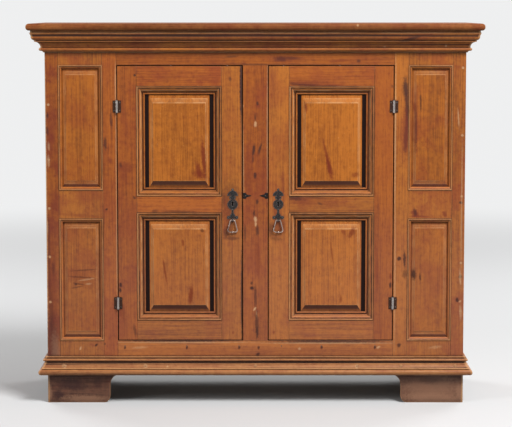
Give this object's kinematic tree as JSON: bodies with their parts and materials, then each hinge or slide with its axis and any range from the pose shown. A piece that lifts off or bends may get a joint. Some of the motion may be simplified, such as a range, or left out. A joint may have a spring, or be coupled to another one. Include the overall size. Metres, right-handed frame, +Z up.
{
  "type": "kas cupboard",
  "caption": "Low kas cupboard: paired raised-panel doors between panelled flanks, stepped cornice, moulded base, bracket feet, iron escutcheons and drop pulls.",
  "frame": {"origin": "on the floor, under the middle of the whole cupboard", "axes": "+X to the right seen from the front, +Y to the back, +Z up"},
  "size_m": [1.566, 0.538, 1.32],
  "materials": {
    "frame_wood": "aged oiled pine",
    "panel_wood": "aged oiled pine",
    "moulding_wood": "aged oiled pine",
    "foot_wood": "darkened pine",
    "inner_wood": "dry unfinished pine",
    "peg_wood": "end grain",
    "iron": "blackened wrought iron"
  },
  "bodies": {
    "case": {"back_boards": "inner_wood", "base_front": "moulding_wood", "base_left": "moulding_wood", "base_right": "moulding_wood", "bottom_board": "inner_wood", "bottom_rail": "frame_wood", "case_nails": "iron", "case_pegs": "peg_wood", "centre_stile": "frame_wood", "cornice_front": "moulding_wood", "cornice_left": "moulding_wood", "cornice_right": "moulding_wood", "flank_mouldings": "moulding_wood", "flank_panels": "panel_wood", "flank_rails": "frame_wood", "foot_blocks": "inner_wood", "frame_hinge_leaves": "iron", "front_feet": "foot_wood", "hinge_pins": "iron", "left_corner_stile": "frame_wood", "left_inner_stile": "frame_wood", "left_side": "frame_wood", "rear_feet": "foot_wood", "right_corner_stile": "frame_wood", "right_inner_stile": "frame_wood", "right_side": "frame_wood", "shelves": "inner_wood", "strike_plates": "iron", "top_board": "moulding_wood", "top_rail": "frame_wood"},
    "left_door": {"left_door_bail_staple": "iron", "left_door_bottom_rail": "frame_wood", "left_door_escutcheon": "iron", "left_door_hinge_leaves": "iron", "left_door_hinge_stile": "frame_wood", "left_door_lock_case": "iron", "left_door_lock_stile": "frame_wood", "left_door_lower_panel": "panel_wood", "left_door_middle_rail": "frame_wood", "left_door_mouldings": "moulding_wood", "left_door_nails": "iron", "left_door_top_rail": "frame_wood", "left_door_upper_panel": "panel_wood"},
    "right_door": {"right_door_bail_staple": "iron", "right_door_bottom_rail": "frame_wood", "right_door_escutcheon": "iron", "right_door_hinge_leaves": "iron", "right_door_hinge_stile": "frame_wood", "right_door_lock_case": "iron", "right_door_lock_stile": "frame_wood", "right_door_lower_panel": "panel_wood", "right_door_middle_rail": "frame_wood", "right_door_mouldings": "moulding_wood", "right_door_nails": "iron", "right_door_top_rail": "frame_wood", "right_door_upper_panel": "panel_wood"},
    "left_bail": {"left_door_bail": "iron"},
    "right_bail": {"right_door_bail": "iron"},
    "left_bolt": {"left_door_lock_bolt": "iron"},
    "right_bolt": {"right_door_lock_bolt": "iron"}
  },
  "joints": [
    {"name": "left_door_hinge", "type": "hinge", "parent": "case", "child": "left_door", "pos_m": [-0.4775, -0.2158, 0.693], "axis": [0, 0, -1], "range_deg": [0, 160]},
    {"name": "right_door_hinge", "type": "hinge", "parent": "case", "child": "right_door", "pos_m": [0.4775, -0.2158, 0.693], "axis": [0, 0, 1], "range_deg": [0, 160]},
    {"name": "left_bail_swing", "type": "hinge", "parent": "left_door", "child": "left_bail", "pos_m": [-0.079, -0.2179, 0.64225], "axis": [-1, 0, 0], "range_deg": [0, 110]},
    {"name": "right_bail_swing", "type": "hinge", "parent": "right_door", "child": "right_bail", "pos_m": [0.079, -0.2179, 0.64225], "axis": [-1, 0, 0], "range_deg": [0, 110]},
    {"name": "left_bolt_throw", "type": "slide", "parent": "left_door", "child": "left_bolt", "axis": [1, 0, 0], "range_m": [0, 0.012]},
    {"name": "right_bolt_throw", "type": "slide", "parent": "right_door", "child": "right_bolt", "axis": [-1, 0, 0], "range_m": [0, 0.012]}
  ]
}
